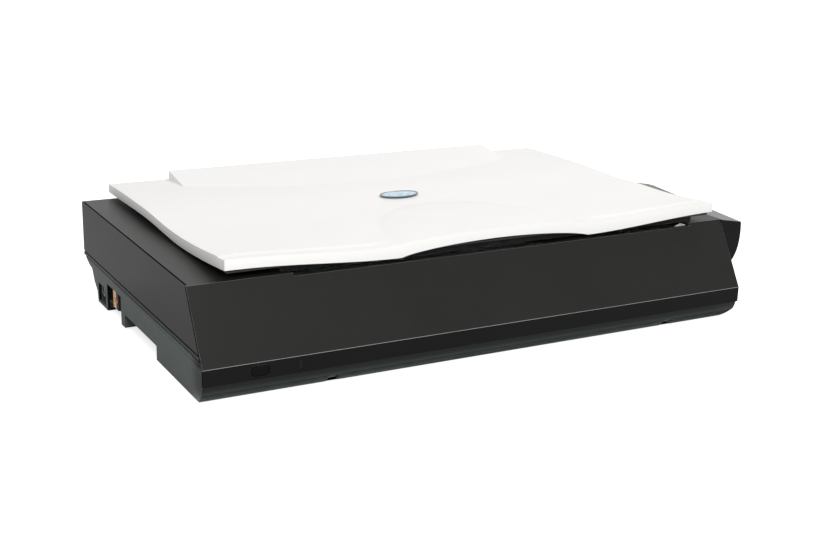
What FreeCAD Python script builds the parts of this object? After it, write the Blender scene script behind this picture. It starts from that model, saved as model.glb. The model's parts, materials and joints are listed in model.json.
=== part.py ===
"""Large-format book-edge flatbed scanner.

Every dimension is in millimetres.  The model is laid out in a working frame whose X starts at
the left end of the sloping front panel, whose Y starts at that panel's top edge and runs to the
back, and whose Z starts on the table.  SHIFT moves it to the frame of the finished part: origin
at the bottom centre of the bounding box, +X to the right, +Y to the back, +Z up.
"""
import FreeCAD, Part
import math
import os

os.makedirs("parts", exist_ok=True)
Vec = FreeCAD.Vector
AXIS = {"x": Vec(1, 0, 0), "y": Vec(0, 1, 0), "z": Vec(0, 0, 1)}

# ---- driving dimensions of the case ---------------------------------------------------
PANEL_W = 574.0          # sloping front panel, left to right
CASE_W = 601.0           # whole width, with the curved right end cap
TOP_Z = 96.0             # top deck above the table
TOP_D = 327.0            # top deck, front edge to back edge
CREASE_OUT = 36.7        # how far the front lip stands out before the deck's front edge
CREASE_Z = 33.1          # height of the crease between the slope and the lip
LIP_Z = 18.0             # bottom of the lip
PART_Z = 38.4            # parting line between upper and lower case
WALL = 2.5               # wall of every moulded case part
FOOT_H = 0.8             # how far the rubber feet stand out below the case
FRONT_TOE_Y = -24.2      # front edge of the lower case where it meets the table
STEP_Y0 = 88.8           # hand hold under the case: front wall
STEP_Y1 = 187.0          # hand hold under the case: back wall
STEP_Z = 14.3            # roof of the hand hold
REAR_TOE_Y = 280.4       # back edge of the rear bay on the table
FIT = 0.05               # radial clearance of a shaft in its bore
SEAM = 0.1               # gap between one moulding and the next
PAST = 1.0               # how far a hollow is cut past the open edge of its moulding

# ---- screws and feet under the case --------------------------------------------------------
SCREW_XS = (123.0, 491.0)
SCREW_FRONT_Y, SCREW_FRONT_Z = -15.5, 5.2      # row of screws, and height of their heads' seat
SCREW_BACK_Y, SCREW_BACK_Z = 318.0, 34.0
SCREW_BORE_R = 1.7
FOOT_XS = (40.0, PANEL_W - 44.0)
FOOT_YS = (-8.0, 72.0, 204.0, 268.0)
FOOT_R, FOOT_T = 8.0, 2.0

# ---- glass bed ---------------------------------------------------------------------------
BED_X0 = 96.7            # visible glass, left and right
BED_X1 = 533.0
BED_Y1 = 304.0           # visible glass, back
DECK_T = 2.6             # thickness of the top deck, and depth of the book-edge recess
TAPE_T = 0.4             # adhesive frame between the glass and the deck
GLASS_T = 3.0
GLASS_TOP = TOP_Z - DECK_T - TAPE_T
GLASS_X0 = 80.0
GLASS_X1 = 541.0
GLASS_Y0 = 2.2
GLASS_Y1 = 313.0

# ---- lid ------------------------------------------------------------------------------
LID_X0 = 33.0
LID_X1 = 558.6
LID_Y0 = -3.8
LID_Y1 = 341.6
LID_WALL = 2.4
LID_MID = 0.5 * (LID_X0 + LID_X1)
DISH_MID = 303.3         # centre of the raised eyebrow in the front edge
DISH_HALF = 101.4        # half its width
DISH_DEEP = 143.0        # how far back it reaches
HUMP_HALF = 196.5        # half the width of the wedge over the hinges
HUMP_RISE = 9.1          # how far it rises at the back edge
HUMP_Y_END = 292.8       # front crease of the wedge at its ends
HUMP_Y_MID = 243.0       # and at its middle
PLATE_Z, PLATE_T = TOP_Z + 6.4, 1.8            # plate that closes the lid and carries the pad
BADGE_X, BADGE_Y, BADGE_Z = 292.0, 175.0, TOP_Z + 12.0
BADGE_HALF_X, BADGE_HALF_Y = 21.5, 12.5

# ---- hinges ------------------------------------------------------------------------------
HINGE_Y = 334.0
HINGE_Z = TOP_Z + 6.0
HINGE_XS = (LID_MID - 165.0, LID_MID + 165.0)
POST_W = 16.0
POST_T = 8.0
PIN_R = 2.0
POST_LEN = 62.0
POST_FIT = 0.15          # clearance of a post in its socket
SOCKET_Z0, SOCKET_Z1 = 46.0, 94.0

# ---- carriage and drive --------------------------------------------------------------------
ROD_Y, ROD_Z, ROD_R = 150.0, 46.0, 4.0
CAR_X = 90.0             # scanning line at the home position, under the calibration strip
CAR_HALF = 35.0
CAR_Z0, CAR_Z1 = 52.2, 86.0
LENS_Y, LENS_Z = 108.0, 76.0
CAR_Y0, CAR_Y1 = 4.0, 312.0
RAIL_YS = (24.0, 286.0)
RAIL_TOP = 50.0
BELT_Y = 183.0           # middle of the belt loop
BELT_Z0, BELT_H, BELT_T = 43.0, 6.0, 1.2
PULLEY_R = 6.3
BELT_IN_R = 6.6
DRIVE_X, IDLER_X = 40.0, 556.0
GEAR_TEETH, PINION_TEETH = 40, 12
GEAR_R, PINION_R = 20.0, 6.0
GEAR_Z0, GEAR_H = 36.6, 4.4
MOTOR_Y = BELT_Y - GEAR_R - PINION_R - 0.1
FLOOR_STEP = STEP_Z + WALL
FLOOR_LOW = FOOT_H + WALL

# ---- main board and its sockets -------------------------------------------------------------
BOARD_Z, BOARD_T = 8.0, 1.6
BOARD_TOP = BOARD_Z + BOARD_T
JACK_Y, USB_Y, PORT_Y = 259.0, 271.5, 222.0

# ---- controls -----------------------------------------------------------------------------
BUTTON_X, BUTTON_Z = 51.2, 25.6
RIBBON_X = 80.0
LIGHT_X = 88.4
LOCK_X, LOCK_Y = 95.0, 115.0   # transport lock knob, under the carriage at home

DEPTH = CREASE_OUT + LID_Y1
SHIFT = Vec(-CASE_W / 2, CREASE_OUT - DEPTH / 2, 0)


# ---- helpers ------------------------------------------------------------------------------
def box(x0, x1, y0, y1, z0, z1):
    return Part.makeBox(x1 - x0, y1 - y0, z1 - z0, Vec(x0, y0, z0))


def cyl(x, y, z, r, length, axis="z"):
    return Part.makeCylinder(r, length, Vec(x, y, z), AXIS[axis])


def prism(points, axis, start, end):
    """A closed outline of (u, v) points in the plane across `axis`, carried from start to end."""
    place = {"x": lambda u, v: Vec(start, u, v), "y": lambda u, v: Vec(u, start, v),
             "z": lambda u, v: Vec(u, v, start)}[axis]
    loop = [place(u, v) for u, v in points]
    face = Part.Face(Part.makePolygon(loop + loop[:1]))
    return face.extrude(AXIS[axis] * (end - start))


def fuse(*shapes):
    body = shapes[0]
    for other in shapes[1:]:
        body = body.fuse(other)
    return body.removeSplitter()


def cut(body, *tools):
    for tool in tools:
        body = body.cut(tool)
    return body


def group(shapes):
    return Part.makeCompound(list(shapes))


def rounded_box(x0, x1, y0, y1, z0, z1, r, axis="z"):
    """A box whose four edges along `axis` are rounded."""
    body = box(x0, x1, y0, y1, z0, z1)
    along = AXIS[axis]
    edges = [e for e in body.Edges if abs(e.tangentAt(e.FirstParameter).dot(along)) > 0.99]
    return body.makeFillet(r, edges)


def save(name, shape):
    moved = shape.copy()
    moved.translate(SHIFT)
    moved.exportStep(os.path.join("parts", name + ".step"))


def smooth(t):
    t = min(max(t, 0.0), 1.0)
    return t * t * (3 - 2 * t)


# ---- the case -------------------------------------------------------------------------------
SLOPE = math.atan2(TOP_Z - CREASE_Z, CREASE_OUT)
PANEL_IN = WALL / math.sin(SLOPE)      # the panel's wall, measured level


def slope_y(z, inset=0.0):
    """Y of the front panel's outer face at height z, moved in by `inset` level."""
    return -CREASE_OUT * (TOP_Z - z) / (TOP_Z - CREASE_Z) + inset


def lower_outline(i):
    """Side outline of the lower case, drawn in by `i` for the inside of its wall."""
    front = slope_y(PART_Z, PANEL_IN + SEAM) + i
    lip = -CREASE_OUT + WALL + SEAM + i
    top = PART_Z + PAST if i else PART_Z
    return [(front, top), (lip, CREASE_Z - 2.0), (lip, LIP_Z - 1.0),
            (-31.5 + i, 9.0), (FRONT_TOE_Y + i, FOOT_H + i),
            (STEP_Y0 - i, FOOT_H + i), (STEP_Y0 - i, STEP_Z + i), (STEP_Y1 + i, STEP_Z + i),
            (STEP_Y1 + i, FOOT_H + i), (REAR_TOE_Y - i, FOOT_H + i), (282.3 - i, 11.0),
            (292.8 - i, 19.1), (300.5 - i, 30.6), (311.0 - i, 32.5 + i / 2), (322.0 - i, 36.9),
            (323.0 - i, top)]


def screw_spots():
    """X, Y and the height of the head's seat for each screw through the lower case."""
    rows = ((SCREW_FRONT_Y, SCREW_FRONT_Z), (SCREW_BACK_Y, SCREW_BACK_Z))
    return [(x, y, seat) for x in SCREW_XS for y, seat in rows]


def make_lower_case():
    body = prism(lower_outline(0.0), "x", 0.6, PANEL_W)
    round_r = 13.0
    corner = [e for e in body.Edges
              if abs(e.CenterOfMass.x - PANEL_W) < 0.01 and abs(e.CenterOfMass.z - FOOT_H) < 0.01]
    body = body.makeFillet(round_r, corner)
    hollow = prism(lower_outline(WALL), "x", 0.6 + WALL, PANEL_W - WALL)
    corner = [e for e in hollow.Edges if abs(e.CenterOfMass.x - PANEL_W + WALL) < 0.01
              and abs(e.CenterOfMass.z - FLOOR_LOW) < 0.01]
    body = cut(body, hollow.makeFillet(round_r - WALL, corner))
    rear_posts = [cyl(x, SCREW_BACK_Y, SCREW_BACK_Z, 5.0, PART_Z - SCREW_BACK_Z) for x in SCREW_XS]
    front_blocks = [box(x - 6, x + 6, -31.0, -8.0, FOOT_H + 1.0, 20.0) for x in SCREW_XS]
    body = fuse(body, *rear_posts, *front_blocks)
    for x, y, seat in screw_spots():
        body = cut(body, cyl(x, y, -1, SCREW_BORE_R, 60), cyl(x, y, -1, 4.6, seat + 1))
    # slanted pockets in front of the two front screws
    for x in SCREW_XS:
        body = cut(body, prism([(x - 6.5, 0.0), (x + 5.5, 0.0), (x + 7.0, 5.5), (x - 5.0, 5.5)],
                               "y", -40, -15.5))
    # two windows for the connectors in the left wall, the front one open at the bottom
    body = cut(body, box(-1, 2 + WALL, 253.0, 277.5, FLOOR_LOW, 22.0))
    body = cut(body, box(-1, 2 + WALL, 199.0, 246.0, -1, 29.0))
    body = cut(body, box(0, 22.0, 199.0, 246.0, -1, FLOOR_LOW + 0.2))
    # opening for the transport lock, and pockets for the feet
    body = cut(body, cyl(LOCK_X, LOCK_Y, 0, 5.3, 30))
    for x, y in foot_spots():
        body = cut(body, cyl(x, y, 0, FOOT_R + 0.2, FOOT_T))
    # button and light openings run through the wall behind the lip
    body = cut(body, rounded_box(BUTTON_X - 9, BUTTON_X + 9, -60, 0, BUTTON_Z - 5.2,
                                 BUTTON_Z + 5.2, 5.0, "y"))
    return cut(body, box(LIGHT_X - 2.6, LIGHT_X + 2.6, -60, 0, 20.4, 30.0))


def foot_spots():
    """Feet along both ends, without the one that would stand in the connector window."""
    ends = [(x, y) for x in FOOT_XS for y in FOOT_YS if (x, y) != (FOOT_XS[0], FOOT_YS[2])]
    return ends + [(PANEL_W / 2, 32.0)]


def upper_outline(i):
    """Side outline of the upper case, drawn in by `i` for the inside of its wall."""
    top = TOP_Z - DECK_T if i else TOP_Z
    bottom = PART_Z - PAST if i else PART_Z
    return [(PANEL_IN + SEAM + i, top), (TOP_D - i, top), (TOP_D - i, bottom),
            (slope_y(PART_Z, PANEL_IN + SEAM) + i, bottom)]


def make_upper_case():
    body = prism(upper_outline(0.0), "x", 0.0, PANEL_W)
    body = cut(body, prism(upper_outline(WALL), "x", WALL, PANEL_W - WALL))
    # the deck is open over the glass, right up to its front edge
    body = cut(body, box(BED_X0, BED_X1, -5, BED_Y1, TOP_Z - DECK_T, TOP_Z + 1))
    body = cut(body, box(GLASS_X0 - 1, GLASS_X1 + 1, -5, GLASS_Y0 + 6, GLASS_TOP - 16, TOP_Z - DECK_T))
    # screw posts: the rear ones hang from the deck, the front ones stand off the front wall
    for x in SCREW_XS:
        rear = cyl(x, SCREW_BACK_Y, PART_Z + SEAM, 4.0, TOP_Z - DECK_T - PART_Z)
        front = cyl(x, SCREW_FRONT_Y, 20.2, 4.0, 34.0)
        rib = prism([(SCREW_FRONT_Y, PART_Z), (slope_y(PART_Z, 4.0), PART_Z), (slope_y(56.0, 4.0), 56.0),
                     (SCREW_FRONT_Y, 56.0)], "x", x - 1.0, x + 1.0)
        body = fuse(body, rear, front, rib)
        body = cut(body, cyl(x, SCREW_BACK_Y, PART_Z, SCREW_BORE_R, 14.0),
                   cyl(x, SCREW_FRONT_Y, 20, SCREW_BORE_R, 14.0))
    # sockets for the two hinge posts stand on the back wall
    half_x, half_y = POST_W / 2 + POST_FIT, POST_T / 2 + POST_FIT
    for x in HINGE_XS:
        body = fuse(body, box(x - 12.5, x + 12.5, TOP_D - 1.0, LID_Y1 - 0.4, SOCKET_Z0, SOCKET_Z1))
        body = cut(body, box(x - half_x, x + half_x, HINGE_Y - half_y, HINGE_Y + half_y, 40.0, TOP_Z))
    return body


def make_front_panel():
    outline = [(0.0, TOP_Z), (-CREASE_OUT, CREASE_Z), (-CREASE_OUT, LIP_Z),
               (-CREASE_OUT + WALL, LIP_Z), (-CREASE_OUT + WALL, CREASE_Z - 0.5),
               (PANEL_IN, TOP_Z)]
    body = prism(outline, "x", 0.0, PANEL_W)
    crease = [e for e in body.Edges if abs(e.CenterOfMass.y + CREASE_OUT) < 0.01
              and abs(e.CenterOfMass.z - CREASE_Z) < 0.01]
    body = body.makeFillet(1.0, crease)
    body = cut(body, box(BED_X0, BED_X1, -10, 10, TOP_Z - DECK_T, TOP_Z + 1))
    body = cut(body, rounded_box(BUTTON_X - 8.6, BUTTON_X + 8.6, -60, 0, BUTTON_Z - 4.8,
                                 BUTTON_Z + 4.8, 4.7, "y"))
    return cut(body, box(LIGHT_X - 2.2, LIGHT_X + 2.2, -60, 0, 21.0, 29.4))


def cap_rise(y):
    """Height of the cap's outer rim above the deck: low at both ends, a crest near the middle."""
    climb = -4.6 + 7.8 * (y + 3.0) / 147.5
    fall = 3.2 - 7.8 * smooth((y - 144.5) / 62.0)
    return climb if y < 144.5 else fall


def cap_section(y, i):
    """Outline across the cap, drawn in by `i`: flat on the case side, bulging and curling under."""
    top_in = TOP_Z - i - SEAM if i else TOP_Z
    top_out = TOP_Z + cap_rise(y) - i
    outer = [Vec(x, y, z) for x, z in ((CASE_W - 0.8 - i, top_out), (CASE_W - 1.0 - i, 70.0),
                                       (CASE_W - 5.3 - i, 56.0), (584.0 - i, 42.5 + i),
                                       (PANEL_W + SEAM, 36.0 + i))]
    curve = Part.BSplineCurve()
    curve.interpolate(outer)
    start, end = Vec(PANEL_W + SEAM, y, top_in), outer[-1]
    return Part.Wire([Part.makeLine(start, outer[0]), curve.toShape(), Part.makeLine(end, start)])


def make_right_end_cap():
    front, back = -3.0, TOP_D
    stations = [front, 30.0, 70.0, 110.0, 136.0, 144.5, 153.0, 168.0, 186.0, 206.5, 265.0, back]
    body = Part.makeLoft([cap_section(y, 0.0) for y in stations], True, True)
    hollow = [front + WALL] + stations[1:-1] + [back - WALL]
    return cut(body, Part.makeLoft([cap_section(y, WALL) for y in hollow], True, True))


# ---- the glass bed --------------------------------------------------------------------------
def make_scan_glass():
    return box(GLASS_X0, GLASS_X1, GLASS_Y0, GLASS_Y1, GLASS_TOP - GLASS_T, GLASS_TOP)


def make_glass_tape():
    band = box(GLASS_X0 + 15, GLASS_X1 - 1, 6.5, GLASS_Y1 - 1, GLASS_TOP, GLASS_TOP + TAPE_T)
    return cut(band, box(BED_X0 - 0.1, BED_X1 + 0.1, -5, BED_Y1 + 0.1, 0, TOP_Z))


def make_calibration_strip():
    return box(CAR_X - 6, CAR_X + 3, 8, 304, GLASS_TOP, GLASS_TOP + 0.35)


def make_origin_mark():
    x1 = BED_X1 - 1.0
    return prism([(x1 - 14, 4.0), (x1, 4.0), (x1, 13.0), (x1 - 5, 9.0)], "z",
                 GLASS_TOP, GLASS_TOP + 0.3)


# ---- carriage: everything that rides along the guide rod ------------------------------------
def make_carriage_housing():
    x0, x1 = CAR_X - CAR_HALF, CAR_X + CAR_HALF
    body = box(x0, x1, CAR_Y0, CAR_Y1, CAR_Z0, CAR_Z1 - 2.0)
    body = cut(body, box(x0 + 2, x1 - 2, CAR_Y0 + 2, CAR_Y1 - 2, CAR_Z0 + 2.2, CAR_Z1))
    saddle = box(CAR_X - 20, CAR_X + 20, ROD_Y - 9, ROD_Y + 9, ROD_Z - 4.0, CAR_Z0)
    body = fuse(body, saddle)
    return cut(body, cyl(CAR_X - 60, ROD_Y, ROD_Z, 6.0, 120, "x"),
               box(CAR_X - 60, CAR_X + 60, ROD_Y - 6, ROD_Y + 6, 30, ROD_Z))


def make_carriage_cover():
    x0, x1 = CAR_X - CAR_HALF, CAR_X + CAR_HALF
    body = box(x0, x1, CAR_Y0, CAR_Y1, CAR_Z1 - 2.0, CAR_Z1)
    return cut(body, rounded_box(CAR_X - 5, CAR_X + 5, 8, 308, CAR_Z1 - 3, CAR_Z1 + 1, 3))


def make_rod_bushes():
    return group(cut(cyl(CAR_X + dx, ROD_Y, ROD_Z, 6.0, 12, "x"),
                     cyl(CAR_X + dx - 1, ROD_Y, ROD_Z, ROD_R + FIT, 14, "x"))
                 for dx in (-20.0, 8.0))


def make_belt_clamp():
    y = BELT_Y - BELT_IN_R - BELT_T / 2
    body = box(CAR_X - 10, CAR_X + 10, y - 4.0, y + 4.0, BELT_Z0 - 2, CAR_Z0)
    return cut(body, box(CAR_X - 11, CAR_X + 11, y - 0.9, y + 0.9, BELT_Z0 - 3, BELT_Z0 + BELT_H + 0.4))


def make_glide_pads():
    return group(box(CAR_X + dx - 5, CAR_X + dx + 5, y - 3, y + 3, RAIL_TOP + 0.2, CAR_Z0)
                 for dx in (-24, 24) for y in RAIL_YS)


def make_lamp_tube():
    return cyl(CAR_X + 11, 10, CAR_Z1 - 6.5, 3.0, 296, "y")


def make_lamp_reflector():
    z0, z1 = CAR_Z1 - 12.0, CAR_Z1 - 2.2
    outline = [(CAR_X + 8, z0), (CAR_X + 18, z0), (CAR_X + 18, z1), (CAR_X + 17, z1),
               (CAR_X + 17, z0 + 1), (CAR_X + 8, z0 + 1)]
    return prism(outline, "y", 9, 307)


def make_mirrors():
    spots = ((CAR_X, 60.0, 45.0, 150), (CAR_X - 22, 62.0, -40.0, 130), (CAR_X + 22, 62.0, 50.0, 110))
    made = []
    for x, z, turn, half in spots:
        mirror = box(x - 7, x + 7, 158 - half * 0.96, 158 + half * 0.96, z - 0.8, z + 0.8)
        mirror.rotate(Vec(x, 0, z), AXIS["y"], turn)
        made.append(mirror)
    return group(made)


def make_lens_barrel():
    body = cyl(CAR_X - 24, LENS_Y, LENS_Z, 6.6, 20, "x")
    return cut(body, cyl(CAR_X - 25, LENS_Y, LENS_Z, 5.2, 22, "x"))


def make_lens_glass():
    return group(cyl(CAR_X + dx, LENS_Y, LENS_Z, 5.15, 4, "x") for dx in (-22.0, -10.0))


def make_sensor_board():
    return box(CAR_X - 31.4, CAR_X - 30.0, 70, 146, CAR_Z0 + 2.4, CAR_Z1 - 4)


# ---- drive ----------------------------------------------------------------------------------
def make_guide_rod():
    return cyl(5.0, ROD_Y, ROD_Z, ROD_R, PANEL_W - 10.0, "x")


def make_rod_brackets():
    made = []
    for x in (6.0, PANEL_W - 15.0):
        body = box(x, x + 9, ROD_Y - 9, ROD_Y + 9, FLOOR_STEP, ROD_Z + 5.5)
        made.append(cut(body, cyl(x - 1, ROD_Y, ROD_Z, ROD_R + 0.02, 11, "x")))
    return group(made)


def make_glide_rail(y, low):
    web = box(3.4, PANEL_W - 16, y - 1.2, y + 1.2, low, RAIL_TOP - 2)
    head = box(3.4, PANEL_W - 16, y - 4, y + 4, RAIL_TOP - 2, RAIL_TOP)
    return fuse(web, head).cut(box(RIBBON_X - 6, RIBBON_X + 6, y - 5, y + 5, 0, FLOOR_LOW + 4))


def toothed_wheel(x, y, z, radius, teeth, height, bore):
    """A spur wheel with straight-sided teeth, one of them pointing along +X."""
    tooth = 2 * math.pi * radius / teeth * 0.16
    root = radius - 0.9
    body = cyl(x, y, z, root, height)
    for n in range(teeth):
        spike = prism([(root - 0.3, -tooth * 1.5), (radius + 0.7, -tooth * 0.8),
                       (radius + 0.7, tooth * 0.8), (root - 0.3, tooth * 1.5)], "z", z, z + height)
        spike.translate(Vec(x, y, 0))
        spike.rotate(Vec(x, y, 0), AXIS["z"], 360.0 * n / teeth)
        body = body.fuse(spike)
    return cut(body, cyl(x, y, z - 1, bore, height + 2))


def make_drive_gear():
    gear = toothed_wheel(DRIVE_X, BELT_Y, GEAR_Z0, GEAR_R, GEAR_TEETH, GEAR_H, PIN_R + FIT)
    gear.rotate(Vec(DRIVE_X, BELT_Y, 0), AXIS["z"], 180.0 / GEAR_TEETH)
    top = BELT_Z0 + BELT_H + 1.0
    hub = cyl(DRIVE_X, BELT_Y, GEAR_Z0 + GEAR_H, PULLEY_R, top - GEAR_Z0 - GEAR_H)
    flanges = [cyl(DRIVE_X, BELT_Y, z, PULLEY_R + 2.4, 0.8) for z in (BELT_Z0 - 1.0, top - 0.8)]
    return cut(fuse(gear, hub, *flanges), cyl(DRIVE_X, BELT_Y, 0, PIN_R + FIT, 80))


def make_gear_axle():
    return cyl(DRIVE_X, BELT_Y, 34.5, PIN_R, 16.6)


def make_motor_pinion():
    return toothed_wheel(DRIVE_X, MOTOR_Y, GEAR_Z0 - 0.2, PINION_R, PINION_TEETH, GEAR_H + 0.4, 1.5)


def make_motor_shaft():
    return cyl(DRIVE_X, MOTOR_Y, 20.0, 1.5, 21.0)


def make_drive_motor():
    body = rounded_box(DRIVE_X - 19, DRIVE_X + 19, MOTOR_Y - 19, MOTOR_Y + 19, 17.4, 33.0, 4)
    return cut(body, cyl(DRIVE_X, MOTOR_Y, 19.5, 1.5 + FIT, 30))


def make_motor_bracket():
    x0, x1, y0, y1 = DRIVE_X - 24, DRIVE_X + 24, MOTOR_Y - 22, BELT_Y + 12
    plate = box(x0, x1, y0, y1, 33.0, 34.5)
    legs = [box(x, x + 1.5, y0, y1 - 12, FLOOR_STEP, 33.0) for x in (x0, x1 - 1.5)]
    return cut(fuse(plate, *legs), cyl(DRIVE_X, MOTOR_Y, 30, 4.0, 8))


def make_motor_screws():
    return group(cyl(DRIVE_X + dx, MOTOR_Y + dy, 34.5, 2.6, 1.3)
                 for dx in (-15.5, 15.5) for dy in (-15.5, 15.5))


def make_idler_bracket():
    x0, x1 = IDLER_X - 12, IDLER_X + 10
    foot = box(x0, x1, BELT_Y - 5, BELT_Y + 3, FLOOR_STEP, 40.0)
    arm = box(x0, x1, BELT_Y - 9, BELT_Y + 9, 40.0, 41.8)
    return fuse(foot, arm)


def make_idler_axle():
    return cyl(IDLER_X, BELT_Y, 41.8, PIN_R, 9.0)


def make_idler_pulley():
    z0, z1 = BELT_Z0 - 0.9, BELT_Z0 + BELT_H + 1.0
    body = fuse(cyl(IDLER_X, BELT_Y, z0, PULLEY_R, z1 - z0), cyl(IDLER_X, BELT_Y, z0, PULLEY_R + 2.4, 0.8),
                cyl(IDLER_X, BELT_Y, z1 - 0.8, PULLEY_R + 2.4, 0.8))
    return cut(body, cyl(IDLER_X, BELT_Y, 0, PIN_R + FIT, 80))


def make_drive_belt():
    def loop(r):
        ends = [cyl(x, BELT_Y, BELT_Z0, r, BELT_H) for x in (DRIVE_X, IDLER_X)]
        return fuse(box(DRIVE_X, IDLER_X, BELT_Y - r, BELT_Y + r, BELT_Z0, BELT_Z0 + BELT_H), *ends)
    return cut(loop(BELT_IN_R + BELT_T), loop(BELT_IN_R))


# ---- electronics ----------------------------------------------------------------------------
def make_main_board():
    return box(5.0, 110.0, 192.0, 277.0, BOARD_Z, BOARD_TOP)


def make_board_chips():
    top = BOARD_TOP
    return group([box(40, 60, 214, 234, top, top + 2.2), box(70, 84, 212, 222, top, top + 1.6),
                  box(68, 90, 240, 247, top, top + 1.4), box(44, 56, 250, 262, top, top + 2.0),
                  cyl(30, 262, top, 4, 10), cyl(30, 240, top, 3, 8)])


def make_board_standoffs():
    return group(cyl(x, y, FLOOR_LOW, 2.6, BOARD_Z - FLOOR_LOW) for x in (26, 106) for y in (196, 272))


def make_usb_socket():
    z0 = BOARD_TOP
    body = box(3.4, 19.0, USB_Y - 5.5, USB_Y + 5.5, z0, z0 + 10.4)
    body = cut(body, box(3.0, 14.0, USB_Y - 4.2, USB_Y + 4.2, z0 + 1.2, z0 + 9.0))
    tongue = box(5.0, 14.5, USB_Y - 2.8, USB_Y + 2.8, z0 + 6.4, z0 + 9.2)
    return fuse(body, tongue)


def make_power_jack():
    z0 = BOARD_TOP
    body = box(3.4, 17.0, JACK_Y - 4.5, JACK_Y + 4.5, z0, z0 + 11.0)
    body = cut(body, cyl(3.0, JACK_Y, z0 + 5.5, 3.2, 11.0, "x"))
    return fuse(body, cyl(5.0, JACK_Y, z0 + 5.5, 1.0, 9.5, "x"))


def make_accessory_port():
    z0 = BOARD_TOP
    body = box(2.2, 12.0, PORT_Y - 8.5, PORT_Y + 8.5, z0, 28.6)
    return cut(body, box(1.0, 8.0, PORT_Y - 6.0, PORT_Y + 6.0, z0 + 6.0, z0 + 11.0))


def make_button_board():
    return box(BUTTON_X - 16, LIGHT_X + 10, -23.0, -21.4, 19.0, 34.0)


def make_button_switch():
    return fuse(box(BUTTON_X - 3, BUTTON_X + 3, -26.5, -23.0, BUTTON_Z - 3, BUTTON_Z + 3),
                cyl(BUTTON_X, -27.0, BUTTON_Z, 1.7, 0.6, "y"))


def make_power_button():
    front = -CREASE_OUT + 0.2
    face = rounded_box(BUTTON_X - 8.2, BUTTON_X + 8.2, front, front + 4.0, BUTTON_Z - 4.4,
                       BUTTON_Z + 4.4, 4.3, "y")
    rear = rounded_box(BUTTON_X - 3.0, BUTTON_X + 3.0, front + 4.0, -28.6, BUTTON_Z - 2.6,
                       BUTTON_Z + 2.6, 1.0, "y")
    return fuse(face, rear)


def make_status_light():
    return box(LIGHT_X - 2.1, LIGHT_X + 2.1, -CREASE_OUT, -25.6, 21.1, 29.3)


def make_light_diode():
    return box(LIGHT_X - 1.6, LIGHT_X + 1.6, -25.2, -23.0, 23.6, 26.8)


def make_button_ribbon():
    """Flat ribbon from the button board to the main board, lying along the floor."""
    t = 0.5
    low, high = FLOOR_LOW + 0.3, FLOOR_STEP + 0.3
    top = [(-20.8, 22.0), (-18.6, low + t), (STEP_Y0 - WALL - 1.0, low + t),
           (STEP_Y0 - WALL - 1.0, high + t), (STEP_Y1 + WALL + 1.6, high + t),
           (STEP_Y1 + WALL + 1.6, BOARD_Z + 1.7 + t), (STEP_Y1 + 8.0, BOARD_Z + 1.7 + t)]
    under = [(-20.8 - t, 22.0), (-18.6 - t, low), (STEP_Y0 - WALL - 1.0 + t, low),
             (STEP_Y0 - WALL - 1.0 + t, high), (STEP_Y1 + WALL + 1.6 - t, high),
             (STEP_Y1 + WALL + 1.6 - t, BOARD_Z + 1.7), (STEP_Y1 + 8.0, BOARD_Z + 1.7)]
    return prism(top + under[::-1], "x", RIBBON_X - 4.0, RIBBON_X + 4.0)


def make_carriage_flex():
    """Flat cable from the main board up to the sensor board; it rolls as the carriage moves."""
    t = 0.3
    low, high, bend = BOARD_Z + 1.7, CAR_Z0 - 4.0, BOARD_Z + 32.0
    outer = [(100.0, low), (120.0, low), (124.0, low + 4.0), (124.0, bend), (118.0, high), (100.0, high),
             (100.0, CAR_Z0 - 0.1)]
    inner = [(100.0, low + t), (120.0 - t, low + t), (124.0 - t, low + 4.0 + t), (124.0 - t, bend - t),
             (118.0 - t, high - t), (100.0 - t, high - t), (100.0 - t, CAR_Z0 - 0.1)]
    return prism(outer + inner[::-1], "y", 198.0, 212.0)


# ---- transport lock ---------------------------------------------------------------------------
def make_transport_lock():
    knob = cyl(LOCK_X, LOCK_Y, STEP_Z - 3.4, 9.0, 3.0)
    knob = cut(knob, box(LOCK_X - 7, LOCK_X + 7, LOCK_Y - 0.8, LOCK_Y + 0.8, 0, STEP_Z - 2.4))
    stem = cyl(LOCK_X, LOCK_Y, STEP_Z - 1.0, 5.2 - FIT, 20.0)
    pillar = cyl(LOCK_X, LOCK_Y, STEP_Z + 18.0, 3.0, 16.0)
    arm = box(LOCK_X - 3, LOCK_X + 3, LOCK_Y - 3, LOCK_Y + 12, STEP_Z + 33.6, STEP_Z + 36.6)
    return fuse(knob, stem, pillar, arm)


# ---- feet and screws --------------------------------------------------------------------------
def make_rubber_feet():
    return group(cyl(x, y, 0, FOOT_R, FOOT_T) for x, y in foot_spots())


def make_case_screws():
    made = []
    for x, y, z in screw_spots():
        head = cyl(x, y, z - 2.2, 3.4, 2.2)
        shank = cyl(x, y, z - 0.1, SCREW_BORE_R - 0.1, 26.0 if y < 0 else 16.0)
        slot = fuse(box(x - 2.2, x + 2.2, y - 0.45, y + 0.45, z - 3, z - 1.2),
                    box(x - 0.45, x + 0.45, y - 2.2, y + 2.2, z - 3, z - 1.2))
        made.append(cut(fuse(head, shank), slot))
    return group(made)


# ---- lid ------------------------------------------------------------------------------------
def fade(y):
    """How much of the front edge's wave is left at depth y."""
    return max(0.0, 1.0 - (y - LID_Y0) / 128.0) ** 1.7


def bulge(x, y, power):
    rho = ((x - DISH_MID) / DISH_HALF) ** 2 + ((y - LID_Y0) / DISH_DEEP) ** 2
    return max(0.0, 1.0 - rho) ** power


def swell(d, start, span):
    return math.sin(0.5 * math.pi * min(max((d - start) / span, 0.0), 1.0)) ** 2


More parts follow.
